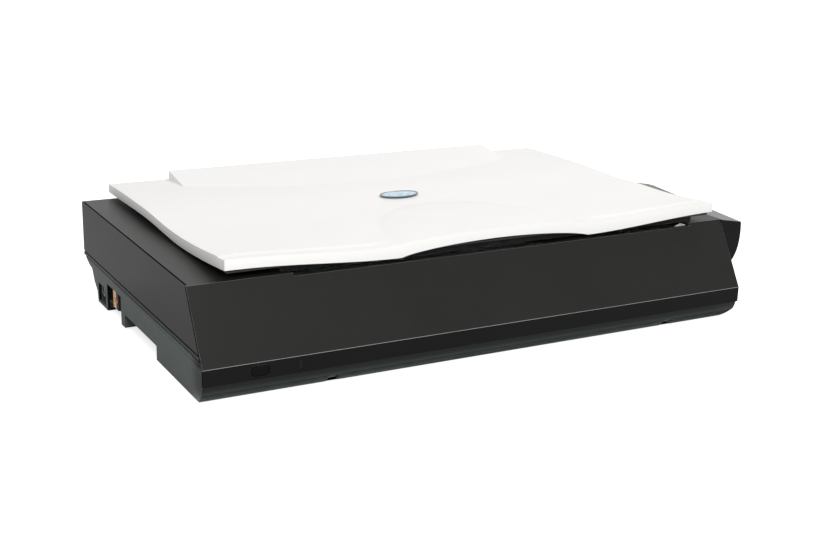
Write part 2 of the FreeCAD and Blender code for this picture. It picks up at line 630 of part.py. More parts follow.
def lid_top(x, y):
    """Height of the lid's top above the deck, without the wedge over the hinges."""
    d = abs(x - DISH_MID)
    spine = 11.4 + 1.1 * max(0.0, 1.0 - y / 135.0) + 2.7 * smooth((y - 135.0) / 90.0)
    spine -= 1.9 * max(0.0, (y - 250.0) / 91.6) ** 2
    return spine + (1.9 + 6.3 * swell(d, 115.0, 150.0)) * fade(y) + 4.4 * bulge(x, y, 0.75)


def lid_rim(x, y):
    """Height of the lid's lower rim above the deck."""
    d = abs(x - DISH_MID)
    spine = 2.1 + 3.5 * smooth((y - 111.0) / 111.0) - 2.0 * smooth((y - 230.0) / 112.0)
    return spine + (0.2 + 7.9 * swell(d, 95.0, 170.0)) * fade(y) + 8.2 * bulge(x, y, 0.75)


def height_solid(height, drop):
    """The solid under a height function, `drop` below it, over a little more than the lid."""
    grow, nx, ny = 6.0, 44, 28
    rows = []
    for i in range(nx + 1):
        x = LID_X0 - grow + (LID_X1 - LID_X0 + 2 * grow) * i / nx
        row = []
        for j in range(ny + 1):
            y = LID_Y0 - grow + (LID_Y1 - LID_Y0 + 2 * grow) * j / ny
            row.append(Vec(x, y, TOP_Z + height(x, max(y, LID_Y0)) - drop))
        rows.append(row)
    sheet = Part.BSplineSurface()
    sheet.interpolate(rows)
    return sheet.toShape().extrude(Vec(0, 0, -60))


def hump_solid(inset, drop):
    """The wedge over the hinges: its front crease bows forward and its ends stand upright."""
    half = HUMP_HALF - inset
    mid = LID_MID
    back_y = LID_Y1 - inset
    back_z = TOP_Z + lid_top(mid, LID_Y1) + HUMP_RISE - drop
    lead = 14.0            # the wedge starts under the lid's skin, this far before its crease

    def start(x):
        y = HUMP_Y_MID + (HUMP_Y_END - HUMP_Y_MID) * ((x - mid) / HUMP_HALF) ** 2 + inset
        z = TOP_Z + lid_top(x, y) - drop
        return Vec(x, y - lead, z - lead * (back_z - z) / (back_y - y))

    front = Part.BSplineCurve()
    front.interpolate([start(mid + half * t / 4.0) for t in range(-4, 5)])
    back = Part.makeLine(Vec(mid - half, back_y, back_z), Vec(mid + half, back_y, back_z))
    top = Part.makeRuledSurface(front.toShape(), back)
    return top.extrude(Vec(0, 0, -16))


def make_lid_shell():
    plan = box(LID_X0, LID_X1, LID_Y0, LID_Y1, TOP_Z - 20, TOP_Z + 60)
    w = LID_WALL
    inner = box(LID_X0 + w, LID_X1 - w, LID_Y0 + w, LID_Y1 - w, TOP_Z - 20, TOP_Z + 60)
    top = height_solid(lid_top, 0.0)
    rim = height_solid(lid_rim, 0.0)
    hump = hump_solid(0.0, 0.0).common(box(0, CASE_W, 200, 400, TOP_Z + 8.0, TOP_Z + 30.0))
    outer = plan.common(top).cut(rim)
    outer = outer.fuse(hump)
    hollow = inner.common(height_solid(lid_top, w))
    hollow = hollow.fuse(hump_solid(w, w))
    body = outer.cut(hollow)
    for x in HINGE_XS:
        body = body.cut(box(x - 13.5, x + 13.5, LID_Y1 - 20, LID_Y1 + 5, TOP_Z - 20, HINGE_Z + 5.2))
    return body


def make_lid_liner():
    """Flat plate that closes the underside of the lid and carries the pad."""
    w = LID_WALL + 0.4
    return box(LID_X0 + w, LID_X1 - w, LID_Y0 + w + 1.0, LID_Y1 - 31.0, PLATE_Z, PLATE_Z + PLATE_T)


def make_document_pad():
    return rounded_box(BED_X0 - 8, BED_X1 + 6, LID_Y0 + 9.0, BED_Y1 + 4, TOP_Z + 0.3, PLATE_Z, 4)


def badge_oval(grow, z0, z1):
    body = cyl(0, 0, 0, 1.0, 1.0)
    matrix = FreeCAD.Matrix()
    matrix.scale(BADGE_HALF_X + grow, BADGE_HALF_Y + grow, z1 - z0)
    oval = body.transformGeometry(matrix)
    oval.translate(Vec(BADGE_X, BADGE_Y, z0))
    return oval


def make_badge_rim():
    return cut(badge_oval(0.0, BADGE_Z + 1.7, BADGE_Z + 2.9), badge_oval(-1.5, BADGE_Z + 2.2, BADGE_Z + 4))


def make_badge_face():
    return badge_oval(-1.6, BADGE_Z + 2.2, BADGE_Z + 2.7)


def make_hinge_bracket(x):
    """Two ears under the lid, one each side of the post's head, joined by a plate in front."""
    ears = [box(x + s * 11.0 - 1.5, x + s * 11.0 + 1.5, HINGE_Y - 10.0, HINGE_Y + 4.0,
                HINGE_Z - 3.6, HINGE_Z + 4.4) for s in (-1, 1)]
    plate = box(x - 12.5, x + 12.5, HINGE_Y - 24.0, HINGE_Y - 9.0, HINGE_Z + 2.4, HINGE_Z + 4.4)
    body = fuse(plate, *ears)
    return cut(body, cyl(x - 20, HINGE_Y, HINGE_Z, PIN_R + FIT, 40, "x"))


def make_hinge_post(x):
    stem = box(x - POST_W / 2, x + POST_W / 2, HINGE_Y - POST_T / 2, HINGE_Y + POST_T / 2,
               HINGE_Z - POST_LEN + POST_T, HINGE_Z)
    head = cyl(x - POST_W / 2, HINGE_Y, HINGE_Z, POST_T / 2, POST_W, "x")
    return cut(fuse(stem, head), cyl(x - 20, HINGE_Y, HINGE_Z, PIN_R + 0.01, 40, "x"))


def make_hinge_pin(x):
    return cyl(x - 13.5, HINGE_Y, HINGE_Z, PIN_R, 27.0, "x")


def make_lid_screws():
    made = []
    for x in HINGE_XS:
        for dx in (-7.0, 7.0):
            made.append(cyl(x + dx, HINGE_Y - 18.0, HINGE_Z + 0.8, 2.8, 1.6))
    return group(made)


# ---- write every sub-part -------------------------------------------------------------------
NODES = {
    "lower_case": make_lower_case, "upper_case": make_upper_case, "front_panel": make_front_panel,
    "right_end_cap": make_right_end_cap, "scan_glass": make_scan_glass, "glass_tape": make_glass_tape,
    "calibration_strip": make_calibration_strip, "origin_mark": make_origin_mark,
    "guide_rod": make_guide_rod, "rod_brackets": make_rod_brackets,
    "front_glide_rail": lambda: make_glide_rail(RAIL_YS[0], FLOOR_LOW),
    "rear_glide_rail": lambda: make_glide_rail(RAIL_YS[1], 17.4),
    "drive_motor": make_drive_motor, "motor_bracket": make_motor_bracket,
    "motor_screws": make_motor_screws, "gear_axle": make_gear_axle, "idler_bracket": make_idler_bracket,
    "idler_axle": make_idler_axle, "drive_belt": make_drive_belt, "main_board": make_main_board,
    "board_chips": make_board_chips, "board_standoffs": make_board_standoffs,
    "usb_socket": make_usb_socket, "power_jack": make_power_jack, "accessory_port": make_accessory_port,
    "button_board": make_button_board, "button_switch": make_button_switch,
    "status_light": make_status_light, "light_diode": make_light_diode,
    "button_ribbon": make_button_ribbon, "carriage_flex": make_carriage_flex,
    "rubber_feet": make_rubber_feet, "case_screws": make_case_screws,
    "motor_shaft": make_motor_shaft, "motor_pinion": make_motor_pinion, "drive_gear": make_drive_gear,
    "idler_pulley": make_idler_pulley, "power_button": make_power_button,
    "transport_lock": make_transport_lock, "carriage_housing": make_carriage_housing,
    "carriage_cover": make_carriage_cover, "rod_bushes": make_rod_bushes, "belt_clamp": make_belt_clamp,
    "glide_pads": make_glide_pads, "lamp_tube": make_lamp_tube, "lamp_reflector": make_lamp_reflector,
    "mirrors": make_mirrors, "lens_barrel": make_lens_barrel, "lens_glass": make_lens_glass,
    "sensor_board": make_sensor_board, "lid_shell": make_lid_shell, "lid_liner": make_lid_liner,
    "document_pad": make_document_pad, "badge_rim": make_badge_rim, "badge_face": make_badge_face,
    "lid_screws": make_lid_screws,
}
for side, hinge_x in zip(("left", "right"), HINGE_XS):
    NODES["hinge_bracket_" + side] = lambda x=hinge_x: make_hinge_bracket(x)
NODES["hinge_posts"] = lambda: group(make_hinge_post(x) for x in HINGE_XS)
NODES["hinge_pins"] = lambda: group(make_hinge_pin(x) for x in HINGE_XS)

for node, make in NODES.items():
    save(node, make())
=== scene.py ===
"""Looks of a large-format flatbed scanner: finishes and fine pieces on a fixed frame."""
import json
import math
import random

import bmesh
import bpy
from mathutils import Matrix, Vector


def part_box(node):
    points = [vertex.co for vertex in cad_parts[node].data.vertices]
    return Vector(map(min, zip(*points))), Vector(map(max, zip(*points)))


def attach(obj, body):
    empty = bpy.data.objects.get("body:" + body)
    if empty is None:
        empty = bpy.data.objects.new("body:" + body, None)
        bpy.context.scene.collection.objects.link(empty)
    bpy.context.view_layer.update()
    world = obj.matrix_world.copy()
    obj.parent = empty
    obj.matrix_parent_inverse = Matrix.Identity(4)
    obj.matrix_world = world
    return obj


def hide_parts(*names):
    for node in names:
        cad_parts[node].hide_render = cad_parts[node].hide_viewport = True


bl_info = {
    "name": "Flatbed Scanner Looks",
    "version": (1, 0, 0),
    "blender": (4, 5, 0),
    "location": "3D View > Sidebar > Scanner",
    "description": "Makes the visible pieces, finishes and studio of a large-format flatbed scanner",
    "category": "Object",
}

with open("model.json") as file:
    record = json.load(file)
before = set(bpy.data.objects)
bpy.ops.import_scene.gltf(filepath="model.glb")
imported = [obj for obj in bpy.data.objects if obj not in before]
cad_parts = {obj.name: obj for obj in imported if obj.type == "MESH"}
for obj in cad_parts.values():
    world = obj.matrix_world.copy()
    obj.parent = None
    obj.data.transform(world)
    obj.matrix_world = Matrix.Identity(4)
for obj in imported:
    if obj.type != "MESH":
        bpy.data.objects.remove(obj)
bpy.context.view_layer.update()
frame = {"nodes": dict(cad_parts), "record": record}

MM = 0.001
PANEL_LOW, PANEL_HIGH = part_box("front_panel")
DECK_LOW, DECK_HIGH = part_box("upper_case")
LID_LOW, LID_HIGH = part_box("lid_shell")
DECK_Z = DECK_HIGH.z
DECK_EDGE_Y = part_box("scan_glass")[0].y - 2.2 * MM      # front edge of the deck and top of the panel
CREASE_Z = PANEL_LOW.z + 15.1 * MM                      # bend between the sloping panel and its lip
LIP_SHADE_Z = PANEL_LOW.z - 3.0 * MM                         # just under the panel's lip, in its deepest shade
TOE_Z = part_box("lower_case")[0].z                       # underside of the lower case
PART_Z = DECK_LOW.z + 18.2 * MM                         # parting line of the case
POCKET_XS = (PANEL_LOW.x + 123.0 * MM, PANEL_LOW.x + 491.0 * MM)     # slanted pockets of the front screws
HOLE_RADIUS, HOLE_DEEP = 2.3 * MM, 26.0 * MM            # screw hole at the back of each pocket
HOLE_PLACE = Vector((3.0 * MM, PANEL_LOW.y + 17.0 * MM, 5.2 * MM))      # its middle, from the pocket's x


# ---- sizes and colours a user would change ---------------------------------------------------
def length(name, text, millimetres):
    return bpy.props.FloatProperty(name=name, description=text, default=millimetres * MM,
                                   unit="LENGTH", precision=5)


def angle(name, text, degrees):
    return bpy.props.FloatProperty(name=name, description=text, default=math.radians(degrees),
                                   subtype="ANGLE", unit="ROTATION")


def hex_colour(text):
    """sRGB hex such as 'f0f0ee' to linear red, green and blue."""
    parts = [int(text[i:i + 2], 16) / 255 for i in (0, 2, 4)]
    return [p / 12.92 if p <= 0.04045 else ((p + 0.055) / 1.055) ** 2.4 for p in parts]


def colour(name, text, value):
    return bpy.props.FloatVectorProperty(name=name, description=text, default=hex_colour(value),
                                         subtype="COLOR", size=3, min=0.0, max=1.0)


class ScannerSizes(bpy.types.PropertyGroup):
    case_edge: length("Case edge", "Rounding of the moulded case edges", 0.9)
    panel_edge: length("Panel edge", "Rounding of the sloping panel's edges", 0.7)
    seam: length("Seam", "Width of the open seams between the case parts", 1.3)
    lid_edge: length("Lid edge", "Rounding of the lid's edges", 1.1)
    lid_wall: length("Lid wall", "Wall of the moulded lid", 2.2)
    lid_step: length("Lid mesh step", "Spacing of the lid's surface points", 2.6)
    dish_half: length("Eyebrow half width", "Half the width of the raised eyebrow", 101.4)
    dish_deep: length("Eyebrow depth", "How far back the eyebrow reaches", 143.0)
    dish_rise: length("Eyebrow rise", "How far the eyebrow stands up at the front edge", 4.6)
    hump_half: length("Hinge cover half width", "Half the width of the wedge over the hinges", 196.5)
    hump_rise: length("Hinge cover rise", "How far the wedge rises at the back edge", 9.1)
    small_edge: length("Small edge", "Rounding of small inner parts", 0.25)


class ScannerColours(bpy.types.PropertyGroup):
    charcoal: colour("Charcoal", "Case plastic", "222221")
    lower: colour("Lower case", "Dark grey-green plastic of the lower case", "3b4240")
    cap: colour("End cap", "Right end cap plastic", "121212")
    white: colour("White", "Lid plastic", "e9e8e6")
    foam: colour("Foam", "Black foam of the document pad", "0e0e0e")
    badge: colour("Badge", "Pale blue of the badge", "8fb9cf")
    amber: colour("Amber", "Nylon of the accessory socket", "e8b584")


class ScannerStudio(bpy.types.PropertyGroup):
    azimuth: angle("Azimuth", "Camera's turn about the upright axis", -28.6)
    elevation: angle("Elevation", "Camera's height angle", 16.67)
    roll: angle("Roll", "Camera's tilt about its own axis", 1.34)
    distance: length("Distance", "From the aim point to the camera", 1423.5)
    lens: bpy.props.FloatProperty(name="Lens", description="Focal length in mm", default=58.52)
    floor: colour("Floor", "Studio floor", "ffffff")


def settings():
    scene = bpy.context.scene
    return scene.scanner_sizes, scene.scanner_colours, scene.scanner_studio


# ---- shader building -------------------------------------------------------------------------
def add(tree, kind, values=None, links=None):
    """Add a shader node; values sets its attributes or inputs, links feeds its inputs."""
    made = tree.nodes.new(kind)
    for key, value in (values or {}).items():
        if isinstance(key, str) and hasattr(made, key):
            setattr(made, key, value)
        else:
            made.inputs[key].default_value = value
    for key, source in (links or {}).items():
        tree.links.new(source, made.inputs[key])
    return made


def new_finish(name, **uniform):
    """A material with one principled shader; uniform numbers go straight on its sockets."""
    material = bpy.data.materials.new(name)
    material.use_nodes = True
    tree = material.node_tree
    shader = tree.nodes["Principled BSDF"]
    for key, value in uniform.items():
        shader.inputs[key.replace("_", " ")].default_value = value
    coords = add(tree, "ShaderNodeTexCoord")
    return material, tree, shader, coords.outputs["Object"]


def tint(rgb, factor):
    return (*[min(1.0, c * factor) for c in rgb], 1.0)


def per_metre(millimetres):
    """Pattern scale for features of this size, on coordinates in metres."""
    return 1.0 / (millimetres * MM)


CLOUD_MM = 55       # size of the faint tone patches in a moulding


def moulded(name, rgb, roughness, grain, depth, cloud=0.06, **uniform):
    """Injection-moulded plastic: a grained skin, faint cloudiness and a little uneven gloss.

    The real grain is too fine to show, so grain, in millimetres, is drawn coarser."""
    material, tree, shader, place = new_finish(name, Metallic=0.0, **uniform)
    clouds = add(tree, "ShaderNodeTexNoise", {"Scale": per_metre(CLOUD_MM), "Detail": 4.0},
                 {"Vector": place})
    skin = add(tree, "ShaderNodeTexNoise", {"Scale": per_metre(grain), "Detail": 3.0,
                                             "Roughness": 0.65}, {"Vector": place})
    shade = add(tree, "ShaderNodeValToRGB", {}, {"Fac": clouds.outputs["Fac"]})
    shade.color_ramp.elements[0].position, shade.color_ramp.elements[1].position = 0.3, 0.7
    shade.color_ramp.elements[0].color = tint(rgb, 1 - cloud)
    shade.color_ramp.elements[1].color = tint(rgb, 1 + cloud)
    gloss = add(tree, "ShaderNodeMapRange", {"To Min": roughness - 0.05, "To Max": roughness + 0.05},
                {"Value": skin.outputs["Fac"]})
    bump = add(tree, "ShaderNodeBump", {"Strength": 1.0, "Distance": depth * MM},
               {"Height": skin.outputs["Fac"]})
    tree.links.new(shade.outputs["Color"], shader.inputs["Base Color"])
    tree.links.new(gloss.outputs["Result"], shader.inputs["Roughness"])
    tree.links.new(bump.outputs["Normal"], shader.inputs["Normal"])
    return material


def paint_front_shade_and_light(material, front, toe, lip):
    """Painted shade and painted light on the front face: painted shade darkest at lip, painted light paling
    towards the toe; even behind the face.
    """
    tree = material.node_tree
    shader = tree.nodes["Principled BSDF"]
    plain = shader.inputs["Base Color"].links[0].from_socket
    place = add(tree, "ShaderNodeTexCoord").outputs["Object"]
    split = add(tree, "ShaderNodeSeparateXYZ", {}, {"Vector": place})
    depth = add(tree, "ShaderNodeMapRange", {"From Min": lip, "From Max": toe},
                {"Value": split.outputs["Z"]})
    # painted light: grows from the painted shade at lip towards the toe
    toe_light = add(tree, "ShaderNodeMath", {"operation": "POWER", 1: 2.2}, {0: depth.outputs["Result"]})
    level = add(tree, "ShaderNodeMath", {"operation": "MULTIPLY_ADD", 1: 4.2, 2: 0.16},
                {0: toe_light.outputs["Value"]})
    behind = add(tree, "ShaderNodeMapRange", {"From Min": front + 14 * MM, "From Max": front + 32 * MM},
                 {"Value": split.outputs["Y"]})
    mixed = add(tree, "ShaderNodeMix", {3: 1.35},
                {0: behind.outputs["Result"], 2: level.outputs["Value"]})
    shade = add(tree, "ShaderNodeVectorMath", {"operation": "SCALE"},
                {0: plain, "Scale": mixed.outputs[0]})
    tree.links.new(shade.outputs["Vector"], shader.inputs["Base Color"])


def brushed(name, rgb, roughness, line_mm, stretch, depth):
    """Metal with fine parallel marks: noise stretched along X drives gloss and bump.

    The real marks are too fine to show, so line_mm, their spacing, is drawn coarser."""
    material, tree, shader, place = new_finish(name, Metallic=1.0)
    scale = (per_metre(line_mm * stretch), per_metre(line_mm), per_metre(line_mm))
    mapped = add(tree, "ShaderNodeMapping", {"Scale": scale}, {"Vector": place})
    marks = add(tree, "ShaderNodeTexNoise", {"Scale": 1.0, "Detail": 3.0},
                {"Vector": mapped.outputs["Vector"]})
    shade = add(tree, "ShaderNodeValToRGB", {}, {"Fac": marks.outputs["Fac"]})
    shade.color_ramp.elements[0].color = tint(rgb, 0.86)
    shade.color_ramp.elements[1].color = tint(rgb, 1.08)
    gloss = add(tree, "ShaderNodeMapRange", {"To Min": roughness - 0.06, "To Max": roughness + 0.08},
                {"Value": marks.outputs["Fac"]})
    bump = add(tree, "ShaderNodeBump", {"Distance": depth * MM}, {"Height": marks.outputs["Fac"]})
    tree.links.new(shade.outputs["Color"], shader.inputs["Base Color"])
    tree.links.new(gloss.outputs["Result"], shader.inputs["Roughness"])
    tree.links.new(bump.outputs["Normal"], shader.inputs["Normal"])
    return material


def float_glass():
    """Float glass: clear, very smooth, faintly green, with a trace of dust haze."""
    material, tree, shader, place = new_finish("float_glass", IOR=1.52, Transmission_Weight=1.0,
                                               Base_Color=(0.93, 0.98, 0.96, 1.0))
    haze = add(tree, "ShaderNodeTexNoise", {"Scale": per_metre(30), "Detail": 5.0}, {"Vector": place})
    gloss = add(tree, "ShaderNodeMapRange", {"To Min": 0.0, "To Max": 0.04},
                {"Value": haze.outputs["Fac"]})
    tree.links.new(gloss.outputs["Result"], shader.inputs["Roughness"])
    return material


def foam_finish(rgb):
    """Open-cell polyether foam: dull, pitted with cells about 1.5 mm across."""
    material, tree, shader, place = new_finish("open_cell_foam", Roughness=0.95, Sheen_Weight=0.25,
                                               Specular_IOR_Level=0.15)
    cells = add(tree, "ShaderNodeTexVoronoi", {"Scale": per_metre(1.5), "Randomness": 1.0},
                {"Vector": place})
    patches = add(tree, "ShaderNodeTexNoise", {"Scale": per_metre(9), "Detail": 5.0}, {"Vector": place})
    shade = add(tree, "ShaderNodeValToRGB", {}, {"Fac": patches.outputs["Fac"]})
    shade.color_ramp.elements[0].position, shade.color_ramp.elements[1].position = 0.35, 0.7
    shade.color_ramp.elements[0].color = tint(rgb, 0.55)
    shade.color_ramp.elements[1].color = tint(rgb, 2.2)
    bump = add(tree, "ShaderNodeBump", {"Distance": 0.5 * MM}, {"Height": cells.outputs["Distance"]})
    tree.links.new(shade.outputs["Color"], shader.inputs["Base Color"])
    tree.links.new(bump.outputs["Normal"], shader.inputs["Normal"])
    return material


def badge_enamel(rgb):
    """Domed epoxy over printed foil: mottled blue with pale drifts, which stand in for print and for
    painted highlights; wet gloss.
    """
    material, tree, shader, place = new_finish("domed_badge_enamel", Roughness=0.12, Coat_Weight=0.6)
    mapped = add(tree, "ShaderNodeMapping", {"Scale": (1.0, 2.2, 1.0)}, {"Vector": place})
    drift = add(tree, "ShaderNodeTexNoise", {"Scale": per_metre(7), "Detail": 2.5, "Distortion": 1.2},
                {"Vector": mapped.outputs["Vector"]})
    shade = add(tree, "ShaderNodeValToRGB", {}, {"Fac": drift.outputs["Fac"]})
    ramp = shade.color_ramp
    ramp.elements[0].position, ramp.elements[1].position = 0.36, 0.72
    ramp.elements[0].color = tint(rgb, 0.7)
    ramp.elements[1].color = (0.8, 0.88, 0.92, 1.0)
    middle = ramp.elements.new(0.56)
    middle.color = tint(rgb, 1.15)
    tree.links.new(shade.outputs["Color"], shader.inputs["Base Color"])
    return material


def circuit_finish():
    """Solder mask over copper: green lacquer, paler tracks 1 mm apart, tinned pads about 5 mm apart."""
    material, tree, shader, place = new_finish("green_solder_mask", Coat_Weight=0.3)
    tracks = add(tree, "ShaderNodeTexBrick",
                 {"Scale": per_metre(4), "Color1": (0.01, 0.11, 0.04, 1), "Color2": (0.012, 0.13, 0.05, 1),
                  "Mortar": (0.03, 0.2, 0.09, 1), "Mortar Size": 0.06}, {"Vector": place})
    pads = add(tree, "ShaderNodeTexVoronoi", {"Scale": per_metre(5)}, {"Vector": place})
    dots = add(tree, "ShaderNodeMath", {"operation": "LESS_THAN", 1: 0.13}, {0: pads.outputs["Distance"]})
    mix = add(tree, "ShaderNodeMix", {"data_type": "RGBA", 7: (0.55, 0.55, 0.5, 1)},
              {0: dots.outputs["Value"], 6: tracks.outputs["Color"]})
    bump = add(tree, "ShaderNodeBump", {"Distance": 0.05 * MM}, {"Height": tracks.outputs["Fac"]})
    gloss = add(tree, "ShaderNodeMapRange", {"To Min": 0.35, "To Max": 0.2},
                {"Value": dots.outputs["Value"]})
    tree.links.new(mix.outputs[2], shader.inputs["Base Color"])
    tree.links.new(bump.outputs["Normal"], shader.inputs["Normal"])
    tree.links.new(gloss.outputs["Result"], shader.inputs["Roughness"])
    return material


FINISHES = {}


def make_finishes():
    """Every finish of the object, each named for what it is and how its surface was made."""
    _, tone, _ = settings()
    f = FINISHES
    # ABS from a spark-eroded mould: dull charcoal that greys at grazing angles
    f["charcoal"] = moulded("spark_eroded_charcoal_abs", tone.charcoal, 0.34, 0.9, 0.03, IOR=1.2)
    # Polished faces of the same plastic, such as the strip below the crease: deep black, little sheen. The
    # same black is painted shade on the cap's front faces, the jambs of the connector windows and the hand
    # hold's back end
    f["lip"] = moulded("black_abs_lip_and_painted_shade", hex_colour("101011"), 0.22, 0.6, 0.004,
                       Specular_IOR_Level=0.12)
    # Sharp edges of the panel: a paler colour on them as a painted highlight
    f["edge"] = moulded("painted_highlight_abs_edge", hex_colour("8a8a8a"), 0.4, 0.8, 0.01)
    # The cap's rolled-over top: the same plastic, pale as a painted reflection, and shiny
    f["cap_top"] = moulded("painted_sheen_pale_abs", hex_colour("686867"), 0.4, 0.8, 0.01, Specular_IOR_Level=0.4)
    # Painted shade in deep gaps, grooves, holes and pockets of the mouldings: dead black
    f["gap"] = moulded("painted_shade_gap_abs", hex_colour("060606"), 0.9, 1.0, 0.02, Specular_IOR_Level=0.05)
    # The case's ABS again for the lower case, a shade greener, with a finer spark texture
    f["lower"] = moulded("fine_grey_green_abs", tone.lower, 0.48, 0.8, 0.03, IOR=1.35)
    # painted shade under the panel's lip and painted light towards the toe of the lower case's front
    paint_front_shade_and_light(f["lower"], PANEL_LOW.y, TOE_Z, LIP_SHADE_Z)
    # ABS with a smoother skin: the cap's face stays nearly black
    f["cap"] = moulded("charcoal_abs_end_cap", tone.cap, 0.38, 0.8, 0.02, Specular_IOR_Level=0.5)
    # ABS from a polished mould, lightly satined: clean white with soft broad highlights
    f["white"] = moulded("satin_white_abs", tone.white, 0.34, 1.4, 0.008, cloud=0.008,
                         IOR=1.07)
    # Plain black moulding for inner frames: dull, slightly uneven
    f["black"] = moulded("black_moulded_abs", hex_colour("191919"), 0.55, 1.0, 0.03)
    # Button cap: tight smooth skin, deep black
    f["button"] = moulded("smooth_black_button_abs", hex_colour("0b0b0c"), 0.4, 0.6, 0.008,
                          Specular_IOR_Level=0.08)
    f["nylon"] = moulded("natural_nylon", hex_colour("e4e0d2"), 0.4, 0.7, 0.015, cloud=0.03,
                         Subsurface_Weight=0.1, Subsurface_Scale=0.002)
    f["amber"] = moulded("amber_nylon", tone.amber, 0.35, 0.7, 0.015, Subsurface_Weight=0.08,
                         Subsurface_Scale=0.002)
    # Vulcanised rubber: dead matt with a dusty bloom
    f["rubber"] = moulded("moulded_black_rubber", hex_colour("141414"), 0.85, 0.7, 0.05, cloud=0.2)
    f["belt"] = moulded("neoprene_belt", hex_colour("1b1b1b"), 0.7, 0.5, 0.04, cloud=0.15)
    f["film"] = moulded("matt_white_polyester_film", hex_colour("e9e9e6"), 0.6, 1.0, 0.01, cloud=0.02)
    f["tape"] = moulded("black_acrylic_tape", hex_colour("0d0d0d"), 0.35, 1.0, 0.01)
    f["chip"] = moulded("moulded_epoxy", hex_colour("1c1c1e"), 0.5, 0.4, 0.02)
    f["vinyl"] = moulded("white_vinyl_sheet", hex_colour("f2f2f0"), 0.45, 2.2, 0.03, cloud=0.02)
    f["rod"] = brushed("ground_steel", hex_colour("c9cbcc"), 0.16, 0.25, 0.4, 0.004)
    f["zinc"] = brushed("zinc_plated_sheet", hex_colour("b9bcb8"), 0.3, 0.5, 10, 0.006)
    f["screw"] = brushed("black_zinc_screw", hex_colour("4c4c50"), 0.35, 0.2, 2, 0.006)
    f["bronze"] = brushed("sintered_bronze", hex_colour("a87f45"), 0.5, 0.3, 1, 0.01)
    f["mirror"] = brushed("silvered_mirror", hex_colour("f4f5f5"), 0.06, 2.0, 1, 0.0)
    f["glass"] = float_glass()
    f["foam"] = foam_finish(tone.foam)
    f["badge"] = badge_enamel(tone.badge)
    # Moulded rim round the badge: glossy slate
    f["rim"] = moulded("gloss_slate_abs", hex_colour("6b767d"), 0.18, 0.8, 0.004)
    f["board"] = circuit_finish()
    # Acrylic light pipe: smoky and half clear
    f["pipe"] = moulded("smoked_acrylic", hex_colour("141516"), 0.25, 1.5, 0.004, Specular_IOR_Level=0.15)
    # Lamp tube: opal phosphor inside clear glass
    f["lamp"] = moulded("opal_lamp_glass", hex_colour("eef1f0"), 0.15, 3.0, 0.002, Transmission_Weight=0.15)


NODE_FINISH = {
    "charcoal": ("upper_case", "front_panel"), "cap": ("right_end_cap",), "lower": ("lower_case",),
    "white": ("lid_shell",), "glass": ("scan_glass", "lens_glass"),
    "tape": ("glass_tape", "button_ribbon", "carriage_flex"),
    # the origin mark's white film also serves as a painted glint and reflection at the end of the glass
    "film": ("calibration_strip", "origin_mark"),
    "rod": ("guide_rod", "gear_axle", "idler_axle", "motor_shaft", "hinge_pins"),
    "zinc": ("rod_brackets", "motor_bracket", "idler_bracket", "drive_motor", "usb_socket",
             "hinge_bracket_left", "hinge_bracket_right"),
    "black": ("front_glide_rail", "rear_glide_rail", "carriage_housing", "carriage_cover", "belt_clamp",
              "lens_barrel", "button_switch", "power_jack", "lid_liner", "transport_lock", "hinge_posts"),
    "screw": ("motor_screws", "case_screws", "lid_screws"), "belt": ("drive_belt",),
    "rubber": ("rubber_feet",), "board": ("main_board", "button_board", "sensor_board"),
    "chip": ("board_chips",),
    "nylon": ("board_standoffs", "motor_pinion", "drive_gear", "idler_pulley", "glide_pads"),
    "amber": ("accessory_port",), "button": ("power_button",), "pipe": ("status_light", "light_diode"),
    "bronze": ("rod_bushes",), "lamp": ("lamp_tube",), "mirror": ("mirrors", "lamp_reflector"),
    "foam": ("document_pad",), "rim": ("badge_rim",), "badge": ("badge_face",),
}
FINISH_OF = {node: finish for finish, nodes in NODE_FINISH.items() for node in nodes}
BODY_OF = {node: body for body, nodes in frame["record"]["behaviour"]["bodies"].items() for node in nodes}


# ---- modelling helpers -----------------------------------------------------------------------
def pick(obj):
    """Make obj the only selected and active object."""
    if bpy.context.object and bpy.context.object.mode != "OBJECT":
        bpy.ops.object.mode_set(mode="OBJECT")
    bpy.ops.object.select_all(action="DESELECT")
    bpy.context.view_layer.objects.active = obj
    obj.select_set(True)
    return obj


def modify(obj, kind, **values):
    """Add a modifier with these values and apply it."""
    pick(obj)
    modifier = obj.modifiers.new(kind.title(), kind)
    for key, value in values.items():
        setattr(modifier, key, value)
    bpy.ops.object.modifier_apply(modifier=modifier.name)
    return obj


def smooth_shade(obj):
    """Smooth shading across the rounded edges only; flat faces stay flat."""
    pick(obj)
    bpy.ops.object.shade_smooth_by_angle(angle=math.radians(50.0))
    return modify(obj, "WEIGHTED_NORMAL", keep_sharp=True, weight=60)


def soften(obj, width, segments=2, limit=32.0, material=-1):
    """Round the edges, with their own finish if material names one, and keep flat faces flat."""
    modify(obj, "BEVEL", width=width, segments=segments, limit_method="ANGLE", material=material,
           angle_limit=math.radians(limit), use_clamp_overlap=True, miter_outer="MITER_ARC")
    return smooth_shade(obj)


def settle(obj):
    """Put the object's place into its mesh."""
    pick(obj)
    bpy.ops.object.transform_apply(location=True, rotation=True, scale=True)
    return obj


def start_block(name, low, high):
    """A block from its low to its high corner, ready to be shaped."""
    bpy.ops.object.select_all(action="DESELECT")
    low, high = Vector(low), Vector(high)
    bpy.ops.mesh.primitive_cube_add(size=1.0, location=(low + high) / 2, scale=high - low)
    made = bpy.context.object
    made.name = name
    return settle(made)


def start_disc(name, centre, radius, depth, vertices, turn=(0, 0, 0)):
    """A disc about its centre, ready to be shaped."""
    bpy.ops.object.select_all(action="DESELECT")
    bpy.ops.mesh.primitive_cylinder_add(vertices=vertices, radius=radius, depth=depth,
                                        location=centre, rotation=turn)
    made = bpy.context.object
    made.name = name
    return settle(made)


